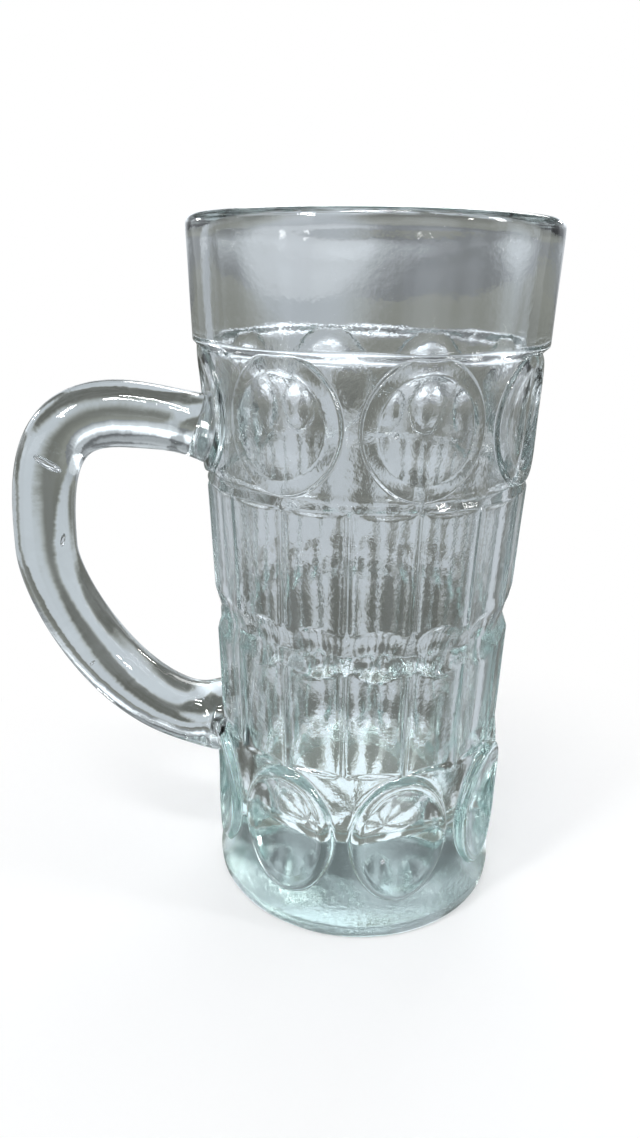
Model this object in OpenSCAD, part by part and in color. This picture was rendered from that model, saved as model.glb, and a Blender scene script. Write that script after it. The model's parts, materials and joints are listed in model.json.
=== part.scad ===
// Tall beer mug of clear pressed glass, with a handle of hot glass stuck on afterwards.
// The body carries, from the table up: a heel, a row of dished lenses, a row of flutes,
// a pinched waist, a second row of flutes, a shoulder, a row of dished ovals, a collar
// and a plain band with a rounded lip. Sizes are in millimetres, the mug's axis is Z,
// the table is z = 0 and the handle points along -X.

/* [Heights of the bands] */
// Height of the heel, from the table to the widest point of the foot
heel_h = 4.5; // [3:0.5:7]
// Height of the band that carries the lower lenses
lens_band_h = 42; // [40:0.5:48]
// Height of the lower flutes, up to the foot of the waist
low_flute_h = 26.5; // [20:0.5:34]
// Height of the waist's lower slope
waist_low_h = 4.4; // [3:0.2:6]
// Height of the waist's upper slope
waist_up_h = 7.1; // [5:0.1:9]
// Height of the upper flutes, from the waist to the shoulder
up_flute_h = 26; // [20:0.5:32]
// Height of the rounded shoulder over the upper flutes
shoulder_h = 3.2; // [2:0.2:5]
// Height of the band that carries the upper ovals
oval_band_h = 30.3; // [29:0.1:34]
// Height of the slanted steps at the foot and head of that band
band_step_h = 1.6; // [1:0.1:2.4]
// Height of the plain band between the collar and the lip
plain_band_h = 27; // [20:0.5:40]

/* [Outer form] */
// Widest radius of the foot
foot_r = 38.2; // [37:0.1:40]
// Widest radius of the lip
lip_r = 43; // [42:0.1:45]
// How far the resting face lies inside the widest point of the foot
heel_in = 0.8; // [0.4:0.1:1.6]
// How far the band of lenses lies inside the straight line from foot to lip, at its foot
lens_foot_in = 1.6; // [1.2:0.1:2]
// The same at the head of that band
lens_head_in = 2.4; // [2.3:0.1:2.8]
// How far the ribs of the lower flutes lie inside that line, at their feet
low_rib_foot_in = 2.2; // [1.8:0.1:2.3]
// The same at their heads
low_rib_head_in = 2.1; // [1.8:0.1:2.4]
// How far the bottom of the waist lies inside that line
waist_in = 3.8; // [3.4:0.1:4.2]
// How far the ribs of the upper flutes lie inside that line, at their feet
up_rib_foot_in = 2; // [1.7:0.1:2.3]
// The same at their heads
up_rib_head_in = 1.5; // [1.3:0.1:1.9]
// How far the valley over the shoulder lies inside that line
valley_in = 2.7; // [2.4:0.1:3]
// How far the band behind the upper ovals lies inside that line
oval_band_in = 2; // [1.7:0.1:2.2]
// How far the collar lies inside that line
collar_in = 0.2; // [0:0.1:0.5]

/* [Bore] */
// Thickness of the glass at the lip
lip_wall = 4.2; // [3.4:0.2:5]
// Thickness of the glass beside the floor of the bore
foot_wall = 9.6; // [8:0.1:11]
// Thickness of the base under the bore
base_t = 22; // [14:0.5:25]
// Radius of the round between the floor and the wall of the bore
bore_round_r = 9; // [5:0.5:14]

/* [Flutes] */
// Number of flutes around the body in each row
flute_count = 16; // [12:4:24]
// Depth of a flute below its ribs
flute_depth = 1.1; // [0.8:0.05:1.3]
// Radius of the hollow across a flute
flute_hollow_r = 45; // [38:1:60]
// Height of the slanted end of a flute
flute_end_h = 1.8; // [1:0.2:3]
// Radius of the ball that hollows the waist in each flute
waist_ball_r = 16; // [12:1:22]
// Depth of that hollow below the flute
waist_ball_depth = 1.2; // [0.6:0.1:1.5]

/* [Upper ovals] */
// Number of ovals around the body
oval_count = 8; // [6:1:10]
// Width of an oval, measured straight across
oval_w = 27.5; // [24:0.5:29]
// Height of an oval
oval_h = 30; // [28.5:0.1:31]
// Radius of the arcs at the head and foot of an oval
oval_end_r = 12.5; // [10:0.1:13]
// How far the plate of an oval stands out of its band
oval_proud = 0.9; // [0.5:0.1:1.2]
// Depth of the dish in an oval
oval_dish = 2.3; // [1:0.1:2.6]
// Width of the rim over and under the dish
oval_rim_w = 3.2; // [2.6:0.1:4]

/* [Lower lenses] */
// Number of lenses around the body
lens_count = 8; // [6:1:10]
// Width of a lens, measured straight across
lens_w = 25.5; // [22:0.5:27]
// Height of a lens
lens_h = 35; // [32:0.5:38]
// Radius of the arcs at the head and foot of a lens
lens_end_r = 10; // [8:0.5:11]
// Gap between the top of a lens and the lower flutes
lens_gap = 0.5; // [0.2:0.1:1.5]
// How far the plate of a lens stands out of its band
lens_proud = 0.8; // [0.5:0.1:1.2]
// Depth of the dish in a lens
lens_dish = 2.7; // [2:0.1:3.2]
// Width of the rim over and under the dish
lens_rim_w = 4.2; // [3.4:0.1:5]

/* [Handle] */
// Reach of the handle's outer edge from the mug's axis
handle_reach = 88; // [80:1:100]
// Height of the middle of the upper root above the shoulder's valley
up_root_rise = 9.7; // [6:0.1:14]
// How far the top of the arm stands above the upper root
arm_rise = 2.7; // [1:0.1:8]
// Height of the middle of the lower root below the head of the lower flutes
low_root_drop = 28.4; // [20:0.1:34]
// How far the lower bend dips below the lower root
low_dip = 1.8; // [0:0.5:6]
// Thickness of the arm in the handle's own plane
arm_t = 14.4; // [12:0.1:16]
// Thickness of the upper bend in the handle's own plane
crook_t = 16.4; // [13:0.1:18]
// Thickness of the grip in the handle's own plane
grip_t = 15.2; // [13:0.1:17]
// Thickness of the lower bend in the handle's own plane
bend_t = 16.4; // [14:0.1:20]
// Width of the handle, from side to side
handle_w = 17; // [14:0.5:20]
// How far each root spreads up and down over the body
root_spread = 1; // [0.4:0.2:3]
// How far each root spreads sideways over the body
root_flare = 3; // [1:0.5:5]
// Length of that spread along the handle
root_len = 11; // [6:0.5:16]
// Angle between the handle and the nearest line between two ovals
handle_offset = 11.25; // [0:0.25:22.5]

/* [Hidden] */
$fn = 96;
glass_tint = [0.80, 0.88, 0.85, 0.5];

// Heights above the table, stacked from the bands
low_flute_z = heel_h + lens_band_h;
waist_foot_z = low_flute_z + low_flute_h;
waist_z = waist_foot_z + waist_low_h;
waist_head_z = waist_z + waist_up_h;
shoulder_z = waist_head_z + up_flute_h;
valley_z = shoulder_z + shoulder_h;
collar_z = valley_z + oval_band_h;
mug_h = collar_z + plain_band_h;

// Shares of a band at which its outline changes slope
foot_sweep_shares = [0.13, 0.33];
shoulder_round_shares = [0.62, 0.4];
// Shares that set how far each curve of the handle holds its direction
grip_height_share = 0.61;
arm_reach_share = 0.55;
full_bend_share = 0.6;
root_depth_share = 0.67;
arm_pull_shares = [0.6, 0.4, 0.72];
bend_pull_shares = [0.92, 0.57];
grip_pull_shares = [0.29, 0.56];

// One overrun serves every cut
over = 4;
// How far the end arcs of an oval stand proud at their joins with the side arcs
arc_lap = 0.02;
beyond_r = lip_r + over;
// Direction of the line between two ovals that is nearest to the handle, which points at 180
first_rib = 180 - handle_offset;

lens_mid_z = low_flute_z - lens_gap - lens_h / 2;
oval_mid_z = valley_z + oval_band_h / 2;

// The straight line from the widest point of the foot to that of the lip: slope and radius
line_slope = (lip_r - foot_r) / (mug_h - lip_wall / 2 - heel_h);
function line_r(z) = foot_r + line_slope * (z - heel_h);

heel_r = foot_r - heel_in;
lens_sweep_z = heel_h + lens_band_h * foot_sweep_shares[1];
lens_foot_r = line_r(lens_sweep_z) - lens_foot_in;
lens_head_r = line_r(low_flute_z) - lens_head_in;
low_rib_foot_r = line_r(low_flute_z) - low_rib_foot_in;
low_rib_head_r = line_r(waist_foot_z) - low_rib_head_in;
waist_r = line_r(waist_z) - waist_in;
up_rib_foot_r = line_r(waist_head_z) - up_rib_foot_in;
up_rib_head_r = line_r(shoulder_z) - up_rib_head_in;
valley_r = line_r(valley_z) - valley_in;
oval_band_foot_r = line_r(valley_z) - oval_band_in;
oval_band_head_r = line_r(collar_z) - oval_band_in;
collar_r = line_r(collar_z) - collar_in;
bore_foot_r = line_r(base_t) - foot_wall;
bore_head_r = lip_r - lip_wall;
bore_slope = (bore_head_r - bore_foot_r) / (mug_h - base_t);
lens_mid_r = lens_head_r
    + (lens_foot_r - lens_head_r) * (low_flute_z - lens_mid_z) / (low_flute_z - lens_sweep_z);
oval_mid_r = (oval_band_foot_r + oval_band_head_r) / 2;

// The handle's centre line starts and ends inside the wall, so that the body cuts both ends
root_r = valley_r - lip_wall * root_depth_share;
up_root_z = valley_z + up_root_rise;
low_root_z = waist_foot_z - low_root_drop;
grip_r = handle_reach - grip_t / 2;
grip_z = low_root_z + (up_root_z - low_root_z) * grip_height_share;
arm_r = root_r + (grip_r - root_r) * arm_reach_share;
arm_z = up_root_z + arm_rise;

// Control points of the centre line as [radius, height]: arm, upper bend and grip
arm_curve = [[root_r, up_root_z - arm_rise * arm_pull_shares[0]],
    [root_r + (arm_r - root_r) / 3, up_root_z + arm_rise * arm_pull_shares[1]],
    [root_r + (arm_r - root_r) * arm_pull_shares[2], arm_z],
    [arm_r, arm_z]];
bend_curve = [[arm_r, arm_z],
    [arm_r + (grip_r - arm_r) * bend_pull_shares[0], arm_z],
    [grip_r, grip_z + (arm_z - grip_z) * bend_pull_shares[1]],
    [grip_r, grip_z]];
grip_curve = [[grip_r, grip_z],
    [grip_r, grip_z - (grip_z - low_root_z) * grip_pull_shares[0]],
    [root_r + (grip_r - root_r) * grip_pull_shares[1], low_root_z - low_dip],
    [root_r, low_root_z]];
curves = [arm_curve, bend_curve, grip_curve];
curve_steps = [16, 18, 26];
section_sides = 24;

// Point on a cubic curve with four control points
function on_curve(c, t) = pow(1 - t, 3) * c[0] + 3 * t * pow(1 - t, 2) * c[1]
    + 3 * t * t * (1 - t) * c[2] + pow(t, 3) * c[3];
// Direction along the same curve
function along_curve(c, t) = pow(1 - t, 2) * (c[1] - c[0]) + 2 * t * (1 - t) * (c[2] - c[1])
    + t * t * (c[3] - c[2]);
// A smooth passage from a to b as t goes from 0 to 1
function blend(a, b, t) = a + (b - a) * t * t * (3 - 2 * t);
// Thickness in the handle's plane, over the three curves in turn
function thickness(k, t) = k == 0 ? blend(arm_t, crook_t, t)
    : k == 1 ? blend(crook_t, grip_t, t)
    : t < full_bend_share ? blend(grip_t, bend_t, t / full_bend_share) : bend_t;
// Share of a root's spread that is left at a distance d from the body
function root_share(d) = d > root_len ? 0 : pow(1 - max(d, 0) / root_len, 2);

// Outline of the body as seen from the side, before flutes, ovals and lenses
module outline() {
    polygon([
        [0, 0],
        [heel_r, 0],
        [foot_r, heel_h],
        [(foot_r + lens_foot_r) / 2, heel_h + lens_band_h * foot_sweep_shares[0]],
        [lens_foot_r, lens_sweep_z],
        [lens_head_r, low_flute_z],
        [low_rib_foot_r, low_flute_z],
        [low_rib_head_r, waist_foot_z],
        [waist_r, waist_z],
        [up_rib_foot_r, waist_head_z],
        [up_rib_head_r, shoulder_z],
        [valley_r + (up_rib_head_r - valley_r) * shoulder_round_shares[0],
            shoulder_z + shoulder_h * shoulder_round_shares[1]],
        [valley_r, valley_z],
        [oval_band_foot_r, valley_z + band_step_h],
        [oval_band_head_r, collar_z - band_step_h],
        [collar_r, collar_z],
        [lip_r, mug_h - lip_wall],
        [lip_r, mug_h - lip_wall / 2],
        [0, mug_h - lip_wall / 2]
    ]);
    translate([lip_r - lip_wall / 2, mug_h - lip_wall / 2]) circle(d = lip_wall);
}

// An oval made of four arcs, its long way along Y. The side arcs would touch arcs a little
// smaller than the end arcs, so that at each of the four joins the arcs cross
module oval(w, h, end_r) {
    mid = h / 2 - end_r;
    touch_r = end_r - arc_lap;
    side_r = (w * w / 4 + mid * mid - touch_r * touch_r) / (w - 2 * touch_r);
    join = mid * side_r / (side_r - touch_r);
    for (s = [-1, 1]) translate([0, s * mid]) circle(r = end_r);
    intersection() {
        translate([side_r - w / 2, 0]) circle(r = side_r);
        translate([w / 2 - side_r, 0]) circle(r = side_r);
        square([w, 2 * join], center = true);
    }
}

// Copies of a shape that faces +X, spread evenly between the lines at first_rib
module round_the_body(count) {
    for (i = [0 : count - 1]) rotate([0, 0, first_rib + (i + 0.5) * 360 / count]) children();
}

// A row of ovals pushed out along their own radii
module oval_prisms(count, w, h, end_r, z) {
    round_the_body(count)
        translate([bore_foot_r, 0, z]) rotate([90, 0, 90])
            linear_extrude(beyond_r - bore_foot_r) oval(w, h, end_r);
}

// The plates of the upper ovals, their faces parallel to the band behind them
module oval_plates() {
    intersection() {
        oval_prisms(oval_count, oval_w, oval_h, oval_end_r, oval_mid_z);
        rotate_extrude() polygon([
            [0, valley_z - over],
            [line_r(valley_z - over) - oval_band_in + oval_proud, valley_z - over],
            [oval_band_head_r + oval_proud, collar_z],
            [0, collar_z]
        ]);
    }
}

// The plates of the lower lenses
module lens_plates() {
    intersection() {
        oval_prisms(lens_count, lens_w, lens_h, lens_end_r, lens_mid_z);
        rotate_extrude() polygon([
            [0, 0],
            [lens_foot_r + lens_proud, 0],
            [lens_foot_r + lens_proud, lens_sweep_z],
            [lens_head_r + lens_proud, low_flute_z],
            [0, low_flute_z]
        ]);
    }
}

// A row of rings that lie on edge and dish the faces at radius face_r. The section of a ring fits
// the width less its rims, and the ring's own radius fits the height less its rims
module dishes(count, w, h, rim_w, face_r, depth, z) {
    across = (pow(w / 2 - rim_w, 2) + depth * depth) / (2 * depth);
    along = (pow(h / 2 - rim_w, 2) + depth * depth) / (2 * depth);
    round_the_body(count)
        translate([face_r - depth + along, 0, z - (along - depth) * line_slope]) rotate([90, 0, 0])
            rotate_extrude() intersection() {
                translate([along - across, 0]) circle(r = across);
                translate([0, -across - over]) square([along + over, 2 * (across + over)]);
            }
}

// The balls that hollow the waist, one in each flute
module waist_balls() {
    face_r = (low_rib_head_r + up_rib_foot_r) / 2 - flute_depth;
    round_the_body(flute_count)
        translate([face_r - waist_ball_depth + waist_ball_r, 0, waist_z]) sphere(r = waist_ball_r);
}

// Hollow cutters for one row of flutes, leaning with the ribs from foot to head
module flute_cutters(z0, r0, z1, r1) {
    lean = atan((r1 - r0) / (z1 - z0));
    round_the_body(flute_count)
        translate([(r0 + r1) / 2 - flute_depth + flute_hollow_r, 0, (z0 + z1) / 2]) rotate([0, lean, 0])
            cylinder(r = flute_hollow_r, h = (z1 - z0) * 2, center = true);
}

module lower_flutes() {
    intersection() {
        flute_cutters(low_flute_z, low_rib_foot_r, waist_foot_z, low_rib_head_r);
        rotate_extrude() polygon([
            [bore_foot_r, low_flute_z + flute_end_h * (low_rib_foot_r - bore_foot_r) / flute_depth],
            [low_rib_foot_r, low_flute_z],
            [beyond_r, low_flute_z],
            [beyond_r, waist_z],
            [bore_foot_r, waist_z]
        ]);
    }
}

module upper_flutes() {
    edge_z = shoulder_z + shoulder_h * shoulder_round_shares[1];
    intersection() {
        flute_cutters(waist_head_z, up_rib_foot_r, shoulder_z, up_rib_head_r);
        rotate_extrude() polygon([
            [bore_foot_r, waist_z],
            [beyond_r, waist_z],
            [beyond_r, edge_z],
            [up_rib_head_r, edge_z],
            [bore_foot_r, edge_z - flute_end_h * (up_rib_head_r - bore_foot_r) / flute_depth]
        ]);
    }
}

module bore() {
    head_z = mug_h + over;
    floor_z = base_t;
    side = atan(bore_slope);
    round_z = floor_z + bore_round_r;
    round_x = bore_foot_r - bore_round_r * (1 - sin(side)) / cos(side);
    rotate_extrude() {
        polygon([
            [0, floor_z],
            [round_x, floor_z],
            [round_x + bore_round_r * cos(side), round_z - bore_round_r * sin(side)],
            [bore_head_r + bore_slope * over, head_z],
            [0, head_z]
        ]);
        translate([round_x, round_z]) circle(r = bore_round_r);
    }
}

// The body without its bore: the handle's roots are cut by this same form
module body_form() {
    difference() {
        union() {
            rotate_extrude() outline();
            oval_plates();
            lens_plates();
        }
        lower_flutes();
        upper_flutes();
        dishes(oval_count, oval_w, oval_h, oval_rim_w, oval_mid_r + oval_proud, oval_dish, oval_mid_z);
        dishes(lens_count, lens_w, lens_h, lens_rim_w, lens_mid_r + lens_proud, lens_dish, lens_mid_z);
        waist_balls();
    }
}

module glass_body() {
    color(glass_tint) difference() {
        body_form();
        bore();
    }
}

// One ring of the handle's section, at the share t of curve k
function section(k, t) =
    let (
        p = on_curve(curves[k], t),
        d = along_curve(curves[k], t) / norm(along_curve(curves[k], t)),
        root = root_share(p[0] - up_rib_foot_r),
        a = thickness(k, t) / 2 + root_spread * root,
        b = handle_w / 2 + root_flare * root
    )
    [for (i = [0 : section_sides - 1])
        let (u = 360 * i / section_sides)
        [-(p[0] - a * cos(u) * d[1]), b * sin(u), p[1] + a * cos(u) * d[0]]];

module handle_sweep() {
    rings = [for (k = [0 : 2]) for (i = [(k == 0 ? 0 : 1) : curve_steps[k]]) section(k, i / curve_steps[k])];
    last = len(rings) - 1;
    n = section_sides;
    points = [for (ring = rings) for (p = ring) p];
    sides = [for (j = [0 : last - 1]) for (i = [0 : n - 1]) let (i2 = (i + 1) % n)
        [j * n + i, (j + 1) * n + i, (j + 1) * n + i2, j * n + i2]];
    start = [[for (i = [0 : n - 1]) i]];
    end = [[for (i = [n - 1 : -1 : 0]) last * n + i]];
    polyhedron(points, concat(start, sides, end), convexity = 4);
}

module handle() {
    color(glass_tint) difference() {
        handle_sweep();
        body_form();
    }
}

glass_body();
handle();
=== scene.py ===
# %% [markdown]
# A tall beer mug of clear pressed glass with a glass handle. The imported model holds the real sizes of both
# pieces. This lesson builds the glass again as smooth surfaces, because the eye judges glass by how it bends
# light, and only soft edges and a slightly uneven skin bend light the way pressed glass does.

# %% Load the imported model
import json
import math

import bmesh
import bpy
import numpy as np
from mathutils import Matrix, Vector

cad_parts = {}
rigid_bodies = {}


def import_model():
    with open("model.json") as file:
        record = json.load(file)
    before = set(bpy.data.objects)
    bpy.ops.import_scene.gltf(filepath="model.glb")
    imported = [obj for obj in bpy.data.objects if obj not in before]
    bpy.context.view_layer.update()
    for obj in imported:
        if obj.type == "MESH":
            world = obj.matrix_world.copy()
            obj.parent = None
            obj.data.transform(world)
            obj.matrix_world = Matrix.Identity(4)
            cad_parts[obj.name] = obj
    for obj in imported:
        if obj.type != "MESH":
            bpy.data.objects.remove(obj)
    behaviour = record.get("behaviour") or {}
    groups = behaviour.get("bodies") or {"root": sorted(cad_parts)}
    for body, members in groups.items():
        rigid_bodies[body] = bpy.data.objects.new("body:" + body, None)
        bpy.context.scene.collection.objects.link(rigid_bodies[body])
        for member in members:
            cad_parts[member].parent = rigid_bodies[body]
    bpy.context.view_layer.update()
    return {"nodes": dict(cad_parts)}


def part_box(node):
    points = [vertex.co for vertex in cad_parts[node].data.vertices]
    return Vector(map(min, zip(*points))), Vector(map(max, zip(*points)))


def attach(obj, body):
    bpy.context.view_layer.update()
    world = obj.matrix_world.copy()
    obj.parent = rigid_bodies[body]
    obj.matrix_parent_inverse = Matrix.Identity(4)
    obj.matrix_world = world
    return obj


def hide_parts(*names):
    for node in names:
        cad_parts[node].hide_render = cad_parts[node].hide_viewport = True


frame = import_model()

print("packed nodes:", sorted(frame["nodes"]))

# %% [markdown]
# Every size below is in millimetres, as on the drawing of the mug. The height, the lip and the reach of the
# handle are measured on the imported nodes, and the other sizes are the drawing's own. The body follows one
# straight line from the widest point of the foot to that of the lip, and each band lies a little inside it.

# %% Sizes of the body
MM = 0.001
body_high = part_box("glass_body")[1]
mug_h = body_high.z / MM
lip_r = body_high.x / MM
foot_r = 38.2
heel_h, lens_band_h, low_flute_h = 4.5, 42, 26.5
waist_low_h, waist_up_h, up_flute_h = 4.4, 7.1, 26
shoulder_h, oval_band_h, band_step_h = 3.2, 30.3, 1.6
lip_wall, lip_in_h = 4.2, 5.2
foot_wall, base_t, bore_round_r = 9.6, 22, 9

low_flute_z = heel_h + lens_band_h
waist_foot_z = low_flute_z + low_flute_h
waist_z = waist_foot_z + waist_low_h
waist_head_z = waist_z + waist_up_h
shoulder_z = waist_head_z + up_flute_h
valley_z = shoulder_z + shoulder_h
collar_z = valley_z + oval_band_h
line_slope = (lip_r - foot_r) / (mug_h - lip_wall / 2 - heel_h)
print(f"height {mug_h:.1f} mm, lip {2 * lip_r:.1f} mm across, collar at {collar_z:.1f} mm")


def line_r(z):
    """Radius of the straight line from the widest point of the foot to that of the lip."""
    return foot_r + line_slope * (z - heel_h)


# %% [markdown]
# Fire polishing rounds each corner of pressed glass. Two helpers do the same to a formula: where two surfaces
# cross, the smaller or the larger of their radii is taken, and the corner between them is rounded.

# %% Helpers that round a corner
def smooth_max(a, b, soft):
    """The larger of a and b. Where they differ by less than soft, (soft - |a - b|)^2 / (4 soft) is added."""
    return np.maximum(a, b) + np.maximum(soft - np.abs(a - b), 0) ** 2 / (4 * soft)


def smooth_min(a, b, soft):
    """The smaller of a and b, rounded in the same way."""
    return -smooth_max(-a, -b, soft)


def smooth_step(t):
    """A passage from 0 to 1 as t goes from 0 to 1: 3 t^2 - 2 t^3."""
    t = np.clip(t, 0, 1)
    return t * t * (3 - 2 * t)


print("a corner rounded over 1 mm is filled by", smooth_max(0.0, 0.0, 1.0), "mm")

# %% [markdown]
# Seen from the side, the body is a chain of straight slopes: heel, foot, band of lenses, ribs of the lower
# flutes, waist, ribs of the upper flutes, shoulder, valley, band of ovals, collar and lip. Each point of the
# chain is a height and a radius, which is the straight line's radius less the inset of that place. The radius
# between the points is averaged over a short window, which rounds the corners of the chain.

# %% The body's outline
heel_in, foot_sweep_in, lens_foot_in, lens_head_in = 0.8, 0.6, 1.6, 2.4
low_rib_foot_in, low_rib_head_in, waist_in = 2.2, 2.1, 3.8
up_rib_foot_in, up_rib_head_in, shoulder_in = 2, 1.5, 2
valley_in, oval_band_in, collar_in = 2.7, 2, 0.2
foot_sweep_share, lens_sweep_share, shoulder_share = 0.13, 0.33, 0.4
rib_step_h = 0.3

lens_sweep_z = heel_h + lens_sweep_share * lens_band_h
shoulder_edge_z = shoulder_z + shoulder_share * shoulder_h
low_rib_foot_r = line_r(low_flute_z) - low_rib_foot_in
low_rib_head_r = line_r(waist_foot_z) - low_rib_head_in
up_rib_foot_r = line_r(waist_head_z) - up_rib_foot_in
up_rib_head_r = line_r(shoulder_z) - up_rib_head_in
valley_r = line_r(valley_z) - valley_in
outline = np.array([
    [0, foot_r - heel_in],
    [heel_h, foot_r],
    [heel_h + foot_sweep_share * lens_band_h, foot_r - foot_sweep_in],
    [lens_sweep_z, line_r(lens_sweep_z) - lens_foot_in],
    [low_flute_z, line_r(low_flute_z) - lens_head_in],
    [low_flute_z + rib_step_h, low_rib_foot_r],
    [waist_foot_z, low_rib_head_r],
    [waist_z, line_r(waist_z) - waist_in],
    [waist_head_z, up_rib_foot_r],
    [shoulder_z, up_rib_head_r],
    [shoulder_edge_z, line_r(shoulder_z) - shoulder_in],
    [valley_z, valley_r],
    [valley_z + band_step_h, line_r(valley_z) - oval_band_in],
    [collar_z - band_step_h, line_r(collar_z) - oval_band_in],
    [collar_z, line_r(collar_z) - collar_in],
    [mug_h - lip_wall, lip_r],
    [mug_h, lip_r],
])
edge_round, window_fall = 0.35, 0.9
window = np.linspace(-1, 1, 9)
window_weights = 1 - np.abs(window) * window_fall
window_weights = window_weights / np.sum(window_weights)


def band_radius(z):
    """The outline's radius at height z, averaged over a window of edge_round to each side."""
    return sum(w * np.interp(z + edge_round * s, outline[:, 0], outline[:, 1])
               for s, w in zip(window, window_weights))


print(f"outline of {len(outline)} points, radius at the waist {band_radius(waist_z):.2f} mm")

# %% [markdown]
# The pattern repeats around the axis: sixteen flutes in each of two rows, eight ovals and eight lenses. So
# each formula works on the angle from the middle of its own flute or oval. A flute is a shallow hollow cut by
# a big cylinder, and a narrow ridge stands on the rib between two flutes.

# %% Flutes and waist
flute_count, flute_depth, flute_hollow_r = 16, 1.1, 150
low_end_h, up_end_h = 0.5, 1.8
ridge_half_w, ridge_steep, ridge_proud = 0.3, 1.0, 0.05
waist_ball_r, waist_ball_depth = 12, 1.9
cut_round = 0.09


def fold(angle, count):
    """Angle from the middle of the nearest of count equal sectors, which start at angle 0."""
    pitch = 2 * math.pi / count
    return np.mod(angle, pitch) - pitch / 2


def hollow_radius(turn, centre_r, hollow_r, rise=0.0):
    """Radius at which a ray at angle turn meets the near side of a round cutter of radius hollow_r that
    stands at centre_r: centre_r cos(turn) - sqrt(hollow_r^2 - rise^2 - (centre_r sin(turn))^2)."""
    inside = hollow_r ** 2 - rise ** 2 - (centre_r * np.sin(turn)) ** 2
    near = centre_r * np.cos(turn) - np.sqrt(np.maximum(inside, 0))
    return np.where(inside > 0, near, 2 * lip_r)


def flute_radius(angle, z, z0, r0, z1, r1):
    """Radius of a row of flutes whose ribs lean from r0 at z0 to r1 at z1. Each rib carries a ridge: flat
    over twice ridge_half_w, with sides that fall by ridge_steep for each mm."""
    rib_r = r0 + (r1 - r0) * (z - z0) / (z1 - z0)
    turn = fold(angle, flute_count)
    hollow = hollow_radius(turn, rib_r - flute_depth + flute_hollow_r, flute_hollow_r)
    from_rib = rib_r * (math.pi / flute_count - np.abs(turn))
    ridge = rib_r + ridge_proud - ridge_steep * np.maximum(from_rib - ridge_half_w, 0)
    return smooth_max(hollow, ridge, cut_round)


def cut_flutes(r, angle, z):
    """The radius r with both rows of flutes and the hollows of the waist cut into it. A short slope closes
    the foot of the lower row and the head of the upper row: it falls by flute_depth over its height."""
    low = flute_radius(angle, z, low_flute_z, low_rib_foot_r, waist_foot_z, low_rib_head_r)
    low_end = low_rib_foot_r - flute_depth * (z - low_flute_z) / low_end_h
    up = flute_radius(angle, z, waist_head_z, up_rib_foot_r, shoulder_z, up_rib_head_r)
    up_end = up_rib_head_r - flute_depth * (shoulder_edge_z - z) / up_end_h
    flutes = np.where(z < waist_z, smooth_max(low, low_end, cut_round), smooth_max(up, up_end, cut_round))
    ball_centre_r = (low_rib_head_r + up_rib_foot_r) / 2 - flute_depth - waist_ball_depth + waist_ball_r
    balls = hollow_radius(fold(angle, flute_count), ball_centre_r, waist_ball_r, z - waist_z)
    return smooth_min(smooth_min(r, flutes, cut_round), balls, cut_round)


# %% [markdown]
# An oval of width w and height h is made of four arcs: two of radius end_r at its ends and two flatter ones
# at its sides. Its plate stands proud of the band, which lies band_in inside the straight line, and its edge
# is a soft slope of width step. A crown swells its rim of width rim_w, a dish hollows its face, and rim is
# the rounding between the two. The lower lenses are made in the same way with other sizes, and their rims are
# rounder, because the mould drew the glass deeper there.

# %% Ovals and lenses
oval_count = 8
lens_h, lens_gap, lens_band_in = 35, 0.5, 2
oval_mid_z = valley_z + oval_band_h / 2
lens_mid_z = low_flute_z - lens_gap - lens_h / 2
upper = dict(w=27.5, h=30, end_r=12.5, mid_z=oval_mid_z, band_in=oval_band_in, proud=0.9, step=0.55,
             crown=0.12, rim=0.12, dish=2.3, rim_w=3.4)
lower = dict(w=25.5, h=lens_h, end_r=10, mid_z=lens_mid_z, band_in=lens_band_in, proud=0.8, step=0.8,
             crown=1.1, rim=0.2, dish=2.7, rim_w=4.2)
step_round = 0.2


def four_arcs(o):
    """Height of the end arcs' centres and radius of the side arcs of an oval. The side arc's radius is
    (w^2 / 4 + mid^2 - end_r^2) / (w - 2 end_r), which makes it run into the end arcs without a corner."""
    mid = o["h"] / 2 - o["end_r"]
    side_r = (o["w"] ** 2 / 4 + mid ** 2 - o["end_r"] ** 2) / (o["w"] - 2 * o["end_r"])
    return mid, side_r


def oval_distance(y, z, o):
    """Distance from the outline of an oval, negative inside. Past the line through the centres of a side arc
    and an end arc the end arc counts, and before it the side arc."""
    mid, side_r = four_arcs(o)
    past = side_r - o["w"] / 2
    y, z = np.abs(y), np.abs(z)
    to_side = np.hypot(y + past, z) - side_r
    to_end = np.hypot(y, z - mid) - o["end_r"]
    return np.where((z - mid) * past > y * mid, to_end, to_side)


def oval_reach(direction, o):
    """Distance from the middle of an oval to its outline in a direction: the ray's meeting with the side
    arc, or with the end arc where the first point lies past the join."""
    mid, side_r = four_arcs(o)
    past = side_r - o["w"] / 2
    c, s = np.abs(np.cos(direction)), np.abs(np.sin(direction))
    to_side = -past * c + np.sqrt(side_r ** 2 - (past * s) ** 2)
    to_end = mid * s + np.sqrt(np.maximum(o["end_r"] ** 2 - (mid * c) ** 2, 0))
    return np.where((to_side * s - mid) * past > to_side * c * mid, to_end, to_side)


def face_radius(z, o):
    """Radius of the face of an oval's plate at height z."""
    return line_r(z) - o["band_in"] + o["proud"]


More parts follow.
